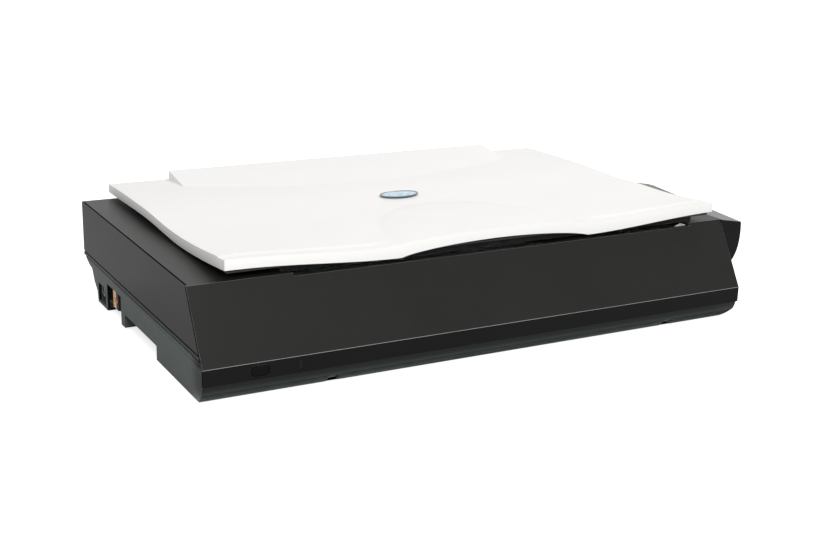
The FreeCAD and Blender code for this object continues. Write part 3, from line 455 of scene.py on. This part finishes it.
def pick_faces(obj, test):
    """Enter edit mode with only the faces selected whose centre and normal pass the test."""
    pick(obj)
    bpy.ops.object.mode_set(mode="EDIT")
    bpy.ops.mesh.select_mode(type="FACE")
    bpy.ops.mesh.select_all(action="DESELECT")
    mesh = bmesh.from_edit_mesh(obj.data)
    for face in mesh.faces:
        face.select_set(test(face.calc_center_median(), face.normal))
    bmesh.update_edit_mesh(obj.data)


def leave_edit():
    bpy.ops.object.mode_set(mode="OBJECT")


def node_copy(name, node):
    """A merged copy of a CAD node with its flat faces whole again."""
    source = frame["nodes"][node]
    made = bpy.data.objects.new(name, source.data.copy())
    bpy.context.scene.collection.objects.link(made)
    made.data.materials.clear()
    pick(made)
    bpy.ops.object.mode_set(mode="EDIT")
    bpy.ops.mesh.select_all(action="SELECT")
    bpy.ops.mesh.remove_doubles(threshold=0.002 * MM)
    bpy.ops.mesh.dissolve_limited(angle_limit=math.radians(0.6))
    leave_edit()
    return made


def finish(obj, finish_name, node, replace=True):
    """Give a piece its material and its body, and let it stand for its CAD node."""
    if finish_name:
        obj.data.materials.clear()
        obj.data.materials.append(FINISHES[finish_name])
    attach(obj, BODY_OF[node])
    if replace:
        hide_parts(node)
    return obj


def softened_node(node, width):
    """A CAD node with its edges rounded."""
    piece = soften(node_copy(node + "_moulding", node), width)
    return finish(piece, FINISH_OF[node], node)


# ---- the lid's shape ---------------------------------------------------------------------------
def smooth(t):
    """0 to 1 with level ends."""
    t = min(max(t, 0.0), 1.0)
    return t * t * (3 - 2 * t)


def swell(distance, start, span):
    """Rise from 0 at start to 1 a span further, as a squared sine."""
    return math.sin(0.5 * math.pi * min(max((distance - start) / span, 0.0), 1.0)) ** 2


class LidShape:
    """Heights of the lid above the deck, in millimetres.

    The curves are the CAD lid's, with three changes to the top: a crisper eyebrow, a step behind
    the front edge and a low swell on the right flank. x runs along the lid, and v is the distance
    behind its front edge."""

    def __init__(self, sizes):
        self.left, self.right = LID_LOW.x / MM, LID_HIGH.x / MM
        self.front, self.back = LID_LOW.y / MM, LID_HIGH.y / MM
        self.middle = 0.5 * (self.left + self.right)
        self.dish_mid = self.left + 270.3
        self.dish_half, self.dish_deep = sizes.dish_half / MM, sizes.dish_deep / MM
        self.dish_rise = sizes.dish_rise / MM
        self.hump_half, self.hump_rise = sizes.hump_half / MM, sizes.hump_rise / MM

    def bulge(self, x, v, power):
        """The eyebrow: 1 in the middle of the front edge and 0 past its oval outline."""
        rho = ((x - self.dish_mid) / self.dish_half) ** 2 + (v / self.dish_deep) ** 2
        return max(0.0, 1.0 - rho) ** power

    def front_fade(self, v):
        """How much of the front edge's wave is left this far behind it."""
        return max(0.0, 1.0 - v / 128.0) ** 1.7

    def top(self, x, y):
        v = y - self.front
        off = abs(x - self.dish_mid)
        spine = 11.4 + 1.1 * max(0.0, 1.0 - v / 138.8) + 2.7 * smooth((v - 138.8) / 90.0)
        spine -= 1.9 * max(0.0, (v - 253.8) / 91.6) ** 2
        wave = (1.9 + 6.3 * swell(off, 115.0, 150.0)) * self.front_fade(v)
        flank = smooth((off - self.dish_half - 6.0) / 14.0)
        step = 1.1 * flank * (1.0 - smooth((v - 15.0) / 2.6))
        right_flank = smooth((x - self.dish_mid - 150.0) / 100.0)
        lift = 2.5 * right_flank * math.exp(-((v - 124.0) / 42.0) ** 2)
        return spine + wave - step + self.dish_rise * self.bulge(x, v, 0.62) + lift

    def rim(self, x, y):
        v = y - self.front
        off = abs(x - self.dish_mid)
        spine = 2.1 + 3.5 * smooth((v - 114.8) / 111.0) - 2.0 * smooth((v - 233.8) / 112.0)
        wave = (0.2 + 7.9 * swell(off, 95.0, 170.0)) * self.front_fade(v)
        return spine + wave + 8.2 * self.bulge(x, v, 0.75)

    def hump(self, x, y):
        """What the wedge over the hinges adds to the top."""
        off = abs(x - self.middle)
        crease = self.front + 246.8 + 49.8 * (off / self.hump_half) ** 2
        if off > self.hump_half or y < crease:
            return 0.0
        level = self.top(self.middle, self.back) + self.hump_rise
        start = self.top(x, crease)
        return start + (level - start) * (y - crease) / (self.back - crease) - self.top(x, y)


class SCANNER_OT_lid(bpy.types.Operator):
    """Mould the white lid: waved front edge, eyebrow, wedge over the hinges, thin walls"""
    bl_idname = "scanner.make_lid"
    bl_label = "Lid"

    def execute(self, context):
        sizes, _, _ = settings()
        shape = LidShape(sizes)
        step = sizes.lid_step / MM
        across = round((shape.right - shape.left) / step)
        deep = round((shape.back - shape.front) / step)
        bpy.ops.object.select_all(action="DESELECT")
        bpy.ops.mesh.primitive_grid_add(
            x_subdivisions=across, y_subdivisions=deep, size=1.0,
            location=((LID_LOW.x + LID_HIGH.x) / 2, (LID_LOW.y + LID_HIGH.y) / 2, 0))
        lid = bpy.context.object
        lid.scale = (LID_HIGH.x - LID_LOW.x, LID_HIGH.y - LID_LOW.y, 1.0)
        settle(lid)
        lid.name = "lid_moulding"
        self.shape_top(lid, shape, step)
        self.draw_walls(lid, shape)
        modify(lid, "SOLIDIFY", thickness=sizes.lid_wall, offset=-1.0, use_even_offset=False)
        self.cut_notches(lid)
        modify(lid, "BEVEL", width=sizes.lid_edge, segments=3, limit_method="ANGLE",
               angle_limit=math.radians(50))
        bpy.ops.object.shade_smooth_by_angle(angle=math.radians(28.0))
        finish(lid, "white", "lid_shell")
        return {"FINISHED"}

    def shape_top(self, lid, shape, step):
        """Lift each point of the sheet to its height; two columns meet at each end of the wedge."""
        ends = [shape.middle - shape.hump_half, shape.middle + shape.hump_half]
        for vertex in lid.data.vertices:
            x, y = vertex.co.x / MM, vertex.co.y / MM
            for end in ends:
                inward = 1 if end < shape.middle else -1
                if abs(x - end) <= step * 0.51:
                    x = end + 0.05 * inward
                elif abs(x - end) <= step * 1.51 and (x - end) * (shape.middle - end) < 0:
                    x = end - 0.35 * inward
            height = shape.top(x, y) + shape.hump(x, y)
            vertex.co = (x * MM, y * MM, DECK_Z + height * MM)

    def draw_walls(self, lid, shape):
        """Draw the sheet's border down to the lower rim."""
        pick(lid)
        bpy.ops.object.mode_set(mode="EDIT")
        bpy.ops.mesh.select_mode(type="EDGE")
        bpy.ops.mesh.select_all(action="SELECT")
        bpy.ops.mesh.region_to_loop()
        bpy.ops.mesh.extrude_edges_move(TRANSFORM_OT_translate={"value": (0, 0, -3 * MM)})
        mesh = bmesh.from_edit_mesh(lid.data)
        for vertex in mesh.verts:
            if vertex.select:
                x, y = vertex.co.x / MM, vertex.co.y / MM
                vertex.co.z = DECK_Z + shape.rim(x, y) * MM
        bmesh.update_edit_mesh(lid.data)
        bpy.ops.mesh.select_all(action="SELECT")
        bpy.ops.mesh.normals_make_consistent(inside=False)
        leave_edit()
        if lid.data.polygons[0].normal.z < 0:
            bpy.ops.object.mode_set(mode="EDIT")
            bpy.ops.mesh.select_all(action="SELECT")
            bpy.ops.mesh.flip_normals()
            leave_edit()

    def cut_notches(self, lid):
        """Open the back wall where the hinge posts stand."""
        for side in ("left", "right"):
            low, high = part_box("hinge_bracket_" + side)
            cutter = start_block("notch", (low.x - 1 * MM, LID_HIGH.y - 9 * MM, DECK_Z - 10 * MM),
                                 (high.x + 1 * MM, LID_HIGH.y + 9 * MM, high.z + 0.8 * MM))
            modify(lid, "BOOLEAN", object=cutter, operation="DIFFERENCE", solver="EXACT")
            bpy.data.objects.remove(cutter)


class SCANNER_OT_pad(bpy.types.Operator):
    """Make the document pad: black foam faced with a white vinyl sheet"""
    bl_idname = "scanner.make_pad"
    bl_label = "Document pad"

    def execute(self, context):
        low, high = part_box("document_pad")
        pad = start_block("document_pad_foam", low, high)
        pick(pad)
        bpy.ops.object.mode_set(mode="EDIT")
        bpy.ops.mesh.select_all(action="SELECT")
        bpy.ops.mesh.subdivide(number_cuts=40)
        leave_edit()
        modify(pad, "BEVEL", width=0.9 * MM, segments=2, limit_method="ANGLE")
        rng = random.Random(5)
        phases = [rng.uniform(0, 6.28) for _ in range(4)]
        middle = (low + high) / 2
        for vertex in pad.data.vertices:
            x, y, z = vertex.co
            near_side = max(abs(x - middle.x) / (high.x - low.x), abs(y - middle.y) / (high.y - low.y)) * 2
            if near_side > 0.995:               # foam edges are knife-cut and never quite straight
                wave = math.sin(x * 61 + phases[0]) + math.sin(x * 143 + y * 90 + phases[1])
                vertex.co.y += 0.25 * MM * wave * (1 if y < middle.y else -1) - 0.1 * MM
            if z < low.z + 1.2 * MM:
                vertex.co.z += 0.12 * MM * (1 + math.sin(x * 23 + phases[2]) * math.sin(y * 31 + phases[3]))
        bpy.ops.object.shade_smooth_by_angle(angle=math.radians(40))
        pad.data.materials.append(FINISHES["foam"])
        pad.data.materials.append(FINISHES["vinyl"])
        for face in pad.data.polygons:
            face.material_index = 1 if face.normal.z < -0.8 and face.center.z < low.z + 1 * MM else 0
        finish(pad, None, "document_pad")
        return {"FINISHED"}


class SCANNER_OT_case(bpy.types.Operator):
    """Soften the moulded case parts, open the seams between them and polish the front lip"""
    bl_idname = "scanner.make_case"
    bl_label = "Case"

    def execute(self, context):
        sizes, _, _ = settings()
        seam = sizes.seam
        upper = node_copy("upper_case_moulding", "upper_case")
        panel = node_copy("front_panel_moulding", "front_panel")
        lower = node_copy("lower_case_moulding", "lower_case")
        self.trim_screw_blocks(lower)
        left = DECK_LOW.x
        slope = math.atan2(PANEL_HIGH.z - CREASE_Z, -PANEL_LOW.y + DECK_EDGE_Y)
        # seam behind the sloping panel, down its left edge
        middle = Vector((left, (PANEL_LOW.y + DECK_EDGE_Y) / 2, (PANEL_HIGH.z + CREASE_Z) / 2))
        reach = math.hypot(DECK_EDGE_Y - PANEL_LOW.y, PANEL_HIGH.z - CREASE_Z)
        behind = Vector((0, math.sin(slope), -math.cos(slope))) * (0.7 * MM + seam)
        self.groove((upper, panel), middle + behind, (4 * seam, 1.5 * seam, reach + 1 * MM),
                    math.pi / 2 - slope)
        # seam between the deck and the left wall
        self.groove((upper,), Vector((left + 1.2 * MM, DECK_LOW.y + 180 * MM, DECK_Z)),
                    (1.3 * seam, 346 * MM, 2 * seam), 0.0)
        # parting line and the bead above it, along the left wall
        for rise in (0.0, 4.6 * MM):
            self.groove((upper, lower), Vector((left, 0, PART_Z + rise)),
                        (2.0 * MM, 2 * DECK_HIGH.y, seam), 0.0)
        # painted highlight: the panel's rounded edges get this pale finish as bevel material 2
        panel.data.materials.append(FINISHES["edge"])
        lower.data.materials[0] = FINISHES["lower"]
        for piece, node in ((upper, "upper_case"), (panel, "front_panel"), (lower, "lower_case")):
            soften(piece, sizes.panel_edge if piece is panel else sizes.case_edge,
                   material=2 if piece is panel else -1)
            finish(piece, None, node)
        for x in POCKET_XS:
            self.bore(lower, HOLE_PLACE + Vector((x, 0, 0)), HOLE_RADIUS, HOLE_DEEP)
        smooth_shade(lower)
        # painted shade in the open screw pockets
        self.shade_pockets()
        cap = softened_node("right_end_cap", sizes.case_edge)
        slope_y = -math.sin(slope)
        self.polish(panel, "lip", lambda c, n: c.z < CREASE_Z - 0.5 * MM and c.y < PANEL_LOW.y + 1.5 * MM)
        # painted highlight along the rounded crease
        self.polish(panel, "edge",
                    lambda c, n: abs(c.z - CREASE_Z) < 3 * MM and slope_y - 0.02 > n.y > -0.99)
        # painted shade: the cap's front faces get the black lip finish
        self.polish(cap, "lip", lambda c, n: n.y < -0.7)
        # painted shade: the jambs of the connector windows and the back end of the hand hold get the
        # polished black finish
        self.polish(lower, "lip",
                    lambda c, n: abs(n.y) > 0.9 and c.y > 0 and c.x < left + 45 * MM and c.z < 30 * MM)
        # painted reflection: the cap's top faces get the pale finish
        self.polish(cap, "cap_top", lambda c, n: n.z > 0.6)
        return {"FINISHED"}

    def trim_screw_blocks(self, lower):
        """Trim the front screw blocks flush with the slope that they would stand proud of."""
        slope = max((face for face in lower.data.polygons if face.normal.y < -0.3 and face.normal.z < -0.3),
                    key=lambda face: face.area)
        normal = slope.normal.copy()
        place = slope.center + normal * 0.02 * MM
        pick(lower)
        bpy.ops.object.mode_set(mode="EDIT")
        bpy.ops.mesh.select_all(action="SELECT")
        bpy.ops.mesh.bisect(plane_co=place, plane_no=normal, clear_outer=True, use_fill=True)
        leave_edit()

    def groove(self, pieces, centre, size, turn):
        """Cut a straight groove with painted shade on its inner faces; turn tips it about X."""
        bpy.ops.object.select_all(action="DESELECT")
        bpy.ops.mesh.primitive_cube_add(size=1.0, location=centre, rotation=(-turn, 0, 0))
        cutter = bpy.context.object
        cutter.scale = size
        bpy.context.view_layer.update()
        inward = cutter.matrix_world.inverted()
        settle(cutter)
        for piece in pieces:
            modify(piece, "BOOLEAN", object=cutter, operation="DIFFERENCE", solver="EXACT")
            if not piece.data.materials:
                piece.data.materials.append(FINISHES["charcoal"])
                piece.data.materials.append(FINISHES["gap"])
            for face in piece.data.polygons:
                spot = inward @ face.center
                if max(abs(c) for c in spot) < 0.501:
                    face.material_index = 1
        bpy.data.objects.remove(cutter)

    def bore(self, piece, centre, radius, deep):
        """Drill a hole along Y with painted shade on its walls."""
        drill = start_disc("drill", centre, radius, deep, 32, turn=(math.pi / 2, 0, 0))
        modify(piece, "BOOLEAN", object=drill, operation="DIFFERENCE", solver="EXACT")
        bpy.data.objects.remove(drill)
        points = piece.data.vertices
        for face in piece.data.polygons:
            spots = [points[i].co - centre for i in face.vertices]
            if all(math.hypot(s.x, s.z) < radius * 1.01 and abs(s.y) < deep * 0.51 for s in spots):
                face.material_index = 1

    def polish(self, piece, finish_name, test):
        """Give the faces that pass the test another finish."""
        piece.data.materials.append(FINISHES[finish_name])
        last = len(piece.data.materials) - 1
        for face in piece.data.polygons:
            if test(face.center, face.normal):
                face.material_index = last

    def shade_pockets(self):
        """Plates at the floor of the slanted pockets in front of the two front screws, in black as painted
        shade.
        """
        for x in POCKET_XS:
            plate = start_block("screw_pocket_shade_plate", (x - 6.2 * MM, PANEL_LOW.y + 12.9 * MM, 0.85 * MM),
                                (x + 5.6 * MM, PANEL_LOW.y + 21 * MM, 1.5 * MM))
            soften(plate, 0.2 * MM)
            finish(plate, "gap", "lower_case", replace=False)


class SCANNER_OT_badge(bpy.types.Operator):
    """Dome the oval badge and round its rim"""
    bl_idname = "scanner.make_badge"
    bl_label = "Badge"

    def execute(self, context):
        low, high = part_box("badge_rim")
        centre = (low + high) / 2
        half = (high - low) / 2
        rim = start_disc("badge_rim_ring", centre, 1.0, high.z - low.z, 96)
        rim.data.transform(Matrix.Translation(centre) @ Matrix.Diagonal((half.x, half.y, 1, 1))
                           @ Matrix.Translation(-centre))
        pick_faces(rim, lambda c, n: n.z > 0.9)
        bpy.ops.mesh.inset(thickness=0.8 * MM)
        bpy.ops.transform.translate(value=(0, 0, -0.5 * MM))
        leave_edit()
        soften(rim, 0.3 * MM, 3)
        finish(rim, "rim", "badge_rim")
        face_low, face_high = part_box("badge_face")
        bpy.ops.object.select_all(action="DESELECT")
        bpy.ops.mesh.primitive_uv_sphere_add(
            segments=64, ring_count=32, radius=1.0, location=(centre.x, centre.y, face_low.z),
            scale=((face_high.x - face_low.x) / 2, (face_high.y - face_low.y) / 2, high.z - face_low.z))
        dome = settle(bpy.context.object)
        dome.name = "badge_dome"
        pick(dome)
        bpy.ops.object.mode_set(mode="EDIT")
        bpy.ops.mesh.select_all(action="SELECT")
        bpy.ops.mesh.bisect(plane_co=(centre.x, centre.y, face_low.z + 0.05 * MM), plane_no=(0, 0, 1),
                            clear_inner=True, use_fill=True)
        leave_edit()
        bpy.ops.object.shade_smooth_by_angle(angle=math.radians(40))
        finish(dome, "badge", "badge_face")
        return {"FINISHED"}


class SCANNER_OT_inner(bpy.types.Operator):
    """Round the edges of the plain inner parts"""
    bl_idname = "scanner.make_inner"
    bl_label = "Inner parts"

    def execute(self, context):
        sizes, _, _ = settings()
        for node in ("carriage_cover", "carriage_housing", "power_button", "status_light",
                     "accessory_port", "usb_socket", "power_jack", "hinge_posts", "hinge_bracket_left",
                     "hinge_bracket_right", "rod_brackets", "drive_motor", "belt_clamp", "lid_liner"):
            softened_node(node, sizes.small_edge)
        self.split_port()
        return {"FINISHED"}

    def split_port(self):
        """The front two fifths of the accessory socket are a black post; the rest is amber nylon."""
        low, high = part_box("accessory_port")
        line = low.y + 0.4 * (high.y - low.y)
        port = bpy.data.objects["accessory_port_moulding"]
        pick(port)
        bpy.ops.object.mode_set(mode="EDIT")
        bpy.ops.mesh.select_all(action="SELECT")
        bpy.ops.mesh.bisect(plane_co=(0, line, 0), plane_no=(0, 1, 0))
        leave_edit()
        port.data.materials.append(FINISHES["black"])
        for face in port.data.polygons:
            if face.center.y < line:
                face.material_index = 1


class SCANNER_OT_finishes(bpy.types.Operator):
    """Make every finish and put it on the nodes that stay as they are"""
    bl_idname = "scanner.make_finishes"
    bl_label = "Finishes"

    def execute(self, context):
        make_finishes()
        for node, obj in frame["nodes"].items():
            obj.data.materials.clear()
            obj.data.materials.append(FINISHES[FINISH_OF[node]])
        return {"FINISHED"}


class SCANNER_OT_studio(bpy.types.Operator):
    """Set the floor, the soft lights, the pale surroundings and the camera"""
    bl_idname = "scanner.make_studio"
    bl_label = "Studio"

    def execute(self, context):
        _, _, studio = settings()
        self.place_camera(studio)
        self.make_floor(studio)
        self.make_lights()
        context.scene.view_settings.view_transform = "Standard"
        return {"FINISHED"}

    def place_camera(self, studio):
        """Look at the aim point from the studio's angles and distance, with a slight tilt."""
        aim = Vector((7.5, 18.5, 21.35)) * MM
        back = Vector((math.sin(studio.azimuth) * math.cos(studio.elevation),
                       -math.cos(studio.azimuth) * math.cos(studio.elevation), math.sin(studio.elevation)))
        right = Vector((0, 0, 1)).cross(back).normalized()
        up = back.cross(right)
        side = right * math.cos(studio.roll) + up * math.sin(studio.roll)
        top = up * math.cos(studio.roll) - right * math.sin(studio.roll)
        turn = Matrix((side, top, back)).transposed().to_4x4()
        data = bpy.data.cameras.new("studio_camera")
        data.lens, data.sensor_width = studio.lens, 36.0
        camera = bpy.data.objects.new("studio_camera", data)
        bpy.context.scene.collection.objects.link(camera)
        camera.matrix_world = Matrix.Translation(aim + back * studio.distance) @ turn
        bpy.context.scene.camera = camera

    def make_floor(self, studio):
        """A white table that glows to the camera only, so its glow doesn't light the scanner."""
        bpy.ops.object.select_all(action="DESELECT")
        bpy.ops.mesh.primitive_plane_add(size=14.0, location=(0, 0, -0.0002))
        floor = bpy.context.object
        floor.name = "studio_floor"
        material, tree, shader, place = new_finish(
            "matt_white_tabletop", Roughness=0.9, Specular_IOR_Level=0.1,
            Emission_Color=(1.0, 1.0, 1.0, 1.0))
        seen = add(tree, "ShaderNodeLightPath")
        glow = add(tree, "ShaderNodeMath", {"operation": "MULTIPLY", 1: 0.72},
                   {0: seen.outputs["Is Camera Ray"]})
        tree.links.new(glow.outputs["Value"], shader.inputs["Emission Strength"])
        patches = add(tree, "ShaderNodeTexNoise", {"Scale": per_metre(400)}, {"Vector": place})
        shade = add(tree, "ShaderNodeValToRGB", {}, {"Fac": patches.outputs["Fac"]})
        shade.color_ramp.elements[0].color = tint(studio.floor, 0.7)
        shade.color_ramp.elements[1].color = tint(studio.floor, 0.73)
        tree.links.new(shade.outputs["Color"], shader.inputs["Base Color"])
        floor.data.materials.append(material)

    def make_lights(self):
        """Pale surroundings, brighter in reflections and plain white to the camera, and two softboxes."""
        world = bpy.data.worlds.new("pale_surroundings")
        bpy.context.scene.world = world
        world.use_nodes = True
        tree = world.node_tree
        air = tree.nodes["Background"]
        screen = add(tree, "ShaderNodeBackground", {"Color": (1, 1, 1, 1), "Strength": 1.0})
        air.inputs["Color"].default_value = (1, 1, 1, 1)
        seen = add(tree, "ShaderNodeLightPath")
        glossy = add(tree, "ShaderNodeMapRange", {"To Min": 0.54, "To Max": 1.04},
                     {"Value": seen.outputs["Is Glossy Ray"]})
        tree.links.new(glossy.outputs["Result"], air.inputs["Strength"])
        mix = add(tree, "ShaderNodeMixShader", {}, {0: seen.outputs["Is Camera Ray"],
                                                   1: air.outputs["Background"],
                                                   2: screen.outputs["Background"]})
        tree.links.new(mix.outputs["Shader"], tree.nodes["World Output"].inputs["Surface"])
        for name, place, size, power in (("front_softbox", (-0.62, -1.95, 1.45), 1.2, 38.0),
                                         ("top_softbox", (1.2, 0.5, 2.1), 0.7, 18.0)):
            data = bpy.data.lights.new(name, "AREA")
            data.size, data.energy = size, power
            light = bpy.data.objects.new(name, data)
            bpy.context.scene.collection.objects.link(light)
            light.location = place
            light.rotation_euler = (-Vector(place)).to_track_quat("-Z", "Y").to_euler()


STEPS = (SCANNER_OT_finishes, SCANNER_OT_studio, SCANNER_OT_lid, SCANNER_OT_pad, SCANNER_OT_case,
         SCANNER_OT_badge, SCANNER_OT_inner)


class SCANNER_PT_panel(bpy.types.Panel):
    """Lists the pieces of the scanner with their sizes and colours"""
    bl_label = "Scanner"
    bl_idname = "SCANNER_PT_panel"
    bl_space_type = "VIEW_3D"
    bl_region_type = "UI"
    bl_category = "Scanner"

    def draw(self, context):
        for step in STEPS:
            self.layout.operator(step.bl_idname)
        for group in settings():
            box = self.layout.box()
            for name in group.__annotations__:
                box.prop(group, name)


GROUPS = {"scanner_sizes": ScannerSizes, "scanner_colours": ScannerColours, "scanner_studio": ScannerStudio}


def register():
    for cls in (*GROUPS.values(), *STEPS, SCANNER_PT_panel):
        bpy.utils.register_class(cls)
    for name, cls in GROUPS.items():
        setattr(bpy.types.Scene, name, bpy.props.PointerProperty(type=cls))


def unregister():
    for name in GROUPS:
        delattr(bpy.types.Scene, name)
    for cls in (SCANNER_PT_panel, *reversed(STEPS), *GROUPS.values()):
        bpy.utils.unregister_class(cls)


def main():
    register()
    for step in STEPS:
        family, name = step.bl_idname.split(".")
        getattr(getattr(bpy.ops, family), name)()


if __name__ == "__main__":
    main()
